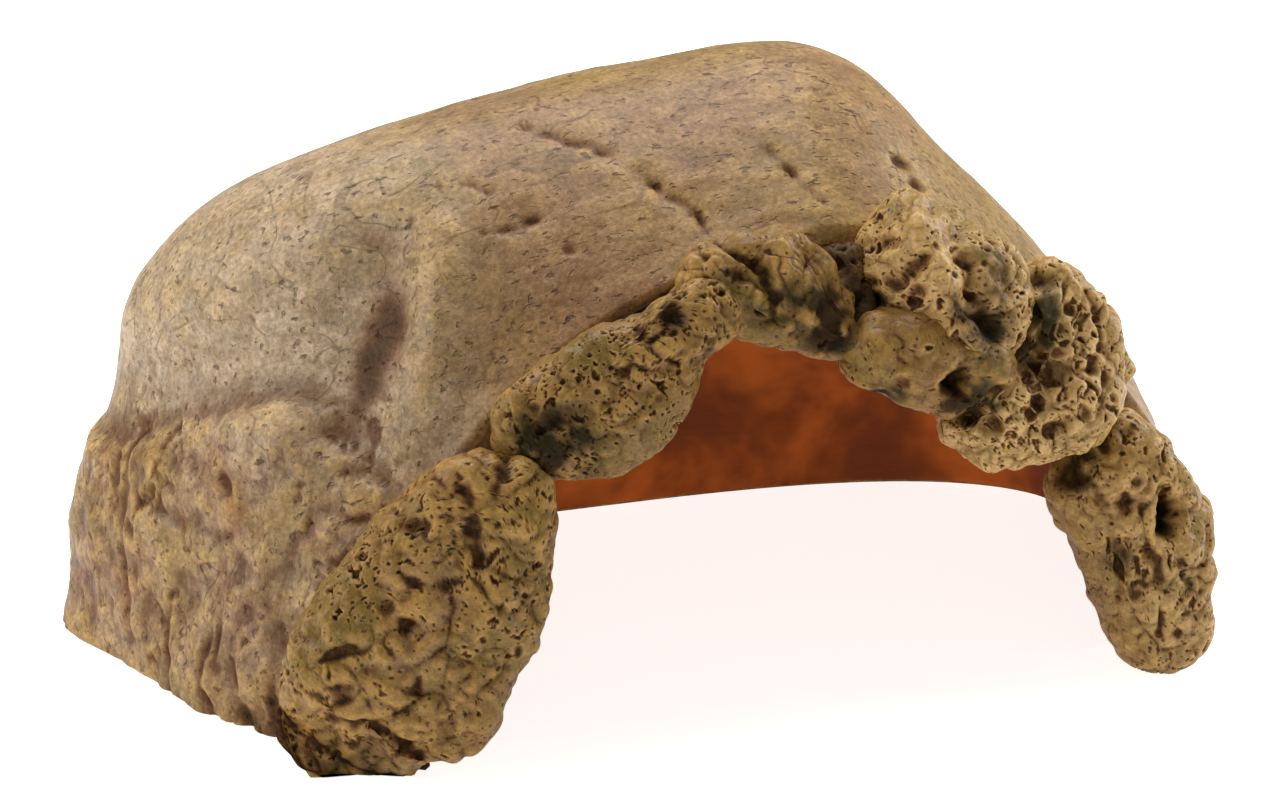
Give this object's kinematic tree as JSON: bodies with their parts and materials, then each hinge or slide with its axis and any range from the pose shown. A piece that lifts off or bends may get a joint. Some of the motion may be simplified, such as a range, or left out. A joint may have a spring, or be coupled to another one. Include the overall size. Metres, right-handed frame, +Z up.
{
  "type": "resin cave ornament",
  "caption": "Asymmetric domed rock hide cave, hollow and open at the front, its arched mouth edged with pitted stones that hang into the opening and stand as feet.",
  "frame": {"origin": "middle of the overall box at floor level", "axes": "+X to the right as seen from the mouth, +Y from the mouth towards the back wall, +Z up"},
  "size_m": [0.2616, 0.1644, 0.1339],
  "materials": {
    "painted_shell": "cast resin, mottled ochre and grey wash, satin lacquer",
    "painted_stone": "cast resin stone, yellow ochre with dark washed pits, satin lacquer",
    "terracotta_coat": "brushed terracotta resin coat, semi-gloss",
    "gravel_fill": "dark green-brown gritty resin",
    "resin_putty": "resin bonding putty"
  },
  "bodies": {
    "root": {"cave_shell": "painted_shell", "inner_coat": "terracotta_coat", "gravel_fill": "gravel_fill", "left_foot_stone": "painted_stone", "right_foot_stone": "painted_stone", "rough_stone": "painted_stone", "ridge_stone": "painted_stone", "brow_stone": "painted_stone", "top_stone": "painted_stone", "left_arch_stone": "painted_stone", "wedge_stone": "painted_stone", "left_foot_bond": "resin_putty", "right_foot_bond": "resin_putty", "rough_bond": "resin_putty", "ridge_bond": "resin_putty", "top_bond": "resin_putty", "left_arch_bond": "resin_putty", "gravel_bond": "resin_putty"}
  },
  "joints": []
}
